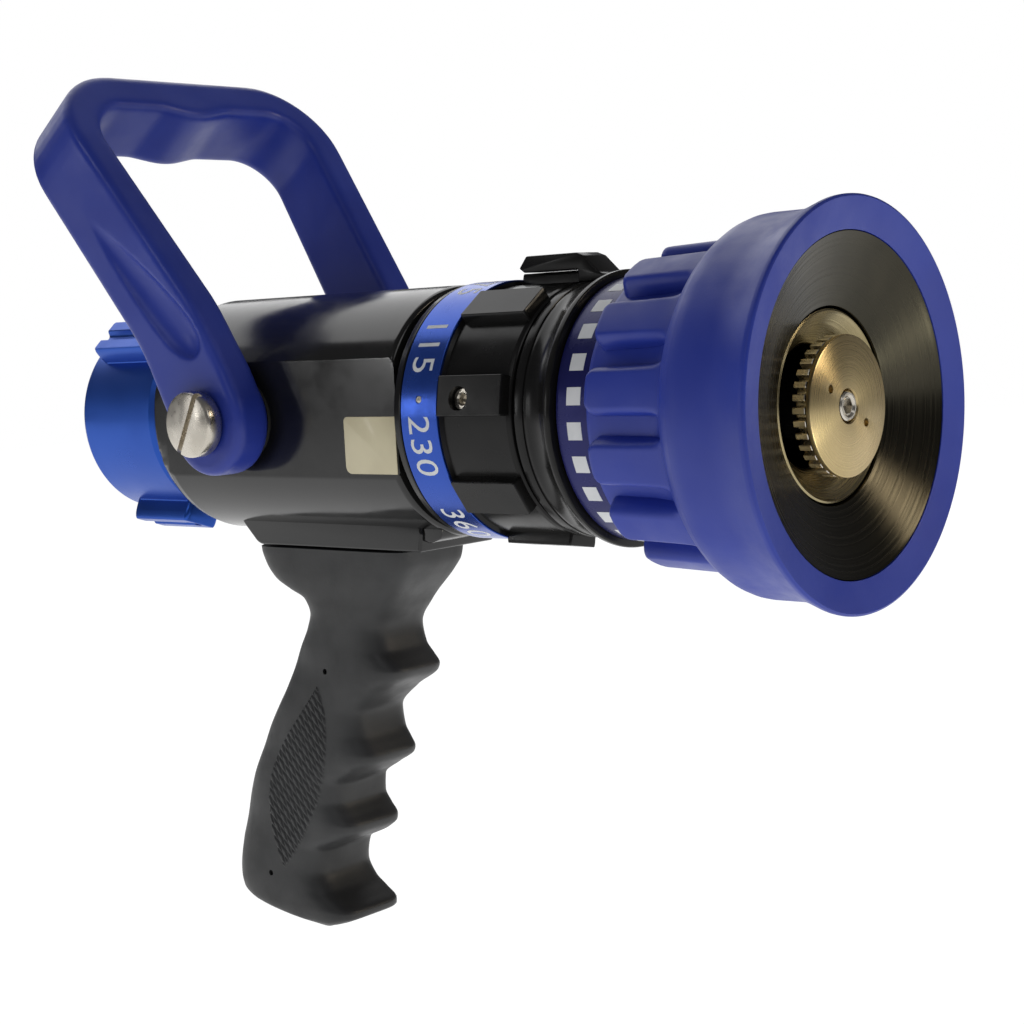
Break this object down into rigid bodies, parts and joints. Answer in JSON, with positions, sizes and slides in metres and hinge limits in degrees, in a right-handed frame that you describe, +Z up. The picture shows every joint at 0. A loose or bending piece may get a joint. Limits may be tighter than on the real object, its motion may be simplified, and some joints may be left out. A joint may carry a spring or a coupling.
{
  "type": "fire hose nozzle",
  "caption": "Hand-held fog nozzle with pistol grip, swivel hose inlet, pull-back bail shut-off, flow selector ring and twist bumper around a spinning-tooth baffle head.",
  "frame": {"origin": "centre of the hose inlet, on the waterway axis, in the plane of the coupling's rear face", "axes": "+X along the waterway from the inlet to the outlet, +Z up away from the pistol grip, +Y to the left of the user who faces along +X"},
  "size_m": [0.2837, 0.1132, 0.278],
  "materials": {
    "black_anodised_body": "gloss black hard anodised",
    "cream_label": "plain cream sticker",
    "white_seat": "turned PTFE",
    "black_anodised_tube": "gloss black anodised",
    "warm_machined": "turned, warm tint",
    "black_grip": "matte moulded",
    "steel": "turned stainless",
    "seal_rubber": "seal",
    "blue_anodised": "satin blue anodised",
    "blue_plastic": "satin moulded",
    "navy_anodised": "navy anodised",
    "blue_rubber": "satin moulded rubber"
  },
  "bodies": {
    "nozzle_body": {"valve_body": "black_anodised_body", "body_label": "cream_label", "front_ball_seat": "white_seat", "rear_ball_seat": "white_seat", "barrel": "black_anodised_tube", "front_collar": "black_anodised_tube", "seat_ring": "warm_machined", "stem_guide": "black_anodised_tube", "pistol_grip": "black_grip", "grip_bolt": "steel", "grip_washer": "steel", "sleeve_o_ring_front": "seal_rubber", "swivel_o_ring": "seal_rubber", "detent_ball": "steel", "detent_spring": "steel", "trunnion_bush_near": "white_seat", "trunnion_bush_far": "white_seat", "thrust_washer_near": "white_seat", "thrust_washer_far": "white_seat", "trunnion_o_ring_near": "seal_rubber", "trunnion_o_ring_far": "seal_rubber"},
    "inlet_swivel": {"coupling": "blue_anodised", "coupling_gasket": "seal_rubber", "swivel_ball_ring": "steel", "ball_race_plug": "steel"},
    "shutoff": {"bail": "blue_plastic", "shutoff_ball": "steel", "trunnion_near": "steel", "trunnion_far": "steel", "bail_screw_near": "steel", "bail_screw_far": "steel"},
    "flow_selector": {"selector_ring": "black_anodised_tube", "selector_band": "blue_anodised", "band_screw": "steel", "selector_lug_screw": "steel"},
    "baffle": {"stem": "black_anodised_tube", "baffle_head": "steel", "head_screw": "steel"},
    "fog_teeth": {"teeth_ring": "steel"},
    "pattern_cam": {"cam_guide_ring": "white_seat"},
    "pattern_control": {"pattern_sleeve": "navy_anodised", "bumper": "blue_rubber", "cone_liner": "black_anodised_tube"}
  },
  "joints": [
    {"name": "inlet_swivel_turn", "type": "hinge", "parent": "nozzle_body", "child": "inlet_swivel", "pos_m": [0.0303, 0, 0], "axis": [1, 0, 0], "continuous": true},
    {"name": "bail_pull", "type": "hinge", "parent": "nozzle_body", "child": "shutoff", "pos_m": [0.0813, 0, 0], "axis": [0, 1, 0], "range_deg": [0, 90]},
    {"name": "flow_selector_turn", "type": "hinge", "parent": "nozzle_body", "child": "flow_selector", "pos_m": [0.1723, 0, 0], "axis": [1, 0, 0], "range_deg": [-30, 90]},
    {"name": "stem_slide", "type": "slide", "parent": "nozzle_body", "child": "baffle", "axis": [1, 0, 0], "range_m": [-0.00221, 0.00075]},
    {"name": "fog_teeth_spin", "type": "hinge", "parent": "baffle", "child": "fog_teeth", "pos_m": [0.2757, 0, 0], "axis": [1, 0, 0], "continuous": true},
    {"name": "pattern_turn", "type": "hinge", "parent": "nozzle_body", "child": "pattern_cam", "pos_m": [0.2003, 0, 0], "axis": [1, 0, 0], "range_deg": [0, 120]},
    {"name": "pattern_slide", "type": "slide", "parent": "pattern_cam", "child": "pattern_control", "axis": [1, 0, 0], "range_m": [0, 0.0096]}
  ],
  "couplings": [
    {"joint": "stem_slide", "follows": "flow_selector_turn", "m_per_rad": -0.0014},
    {"joint": "pattern_slide", "follows": "pattern_turn", "m_per_rad": 0.00453}
  ]
}
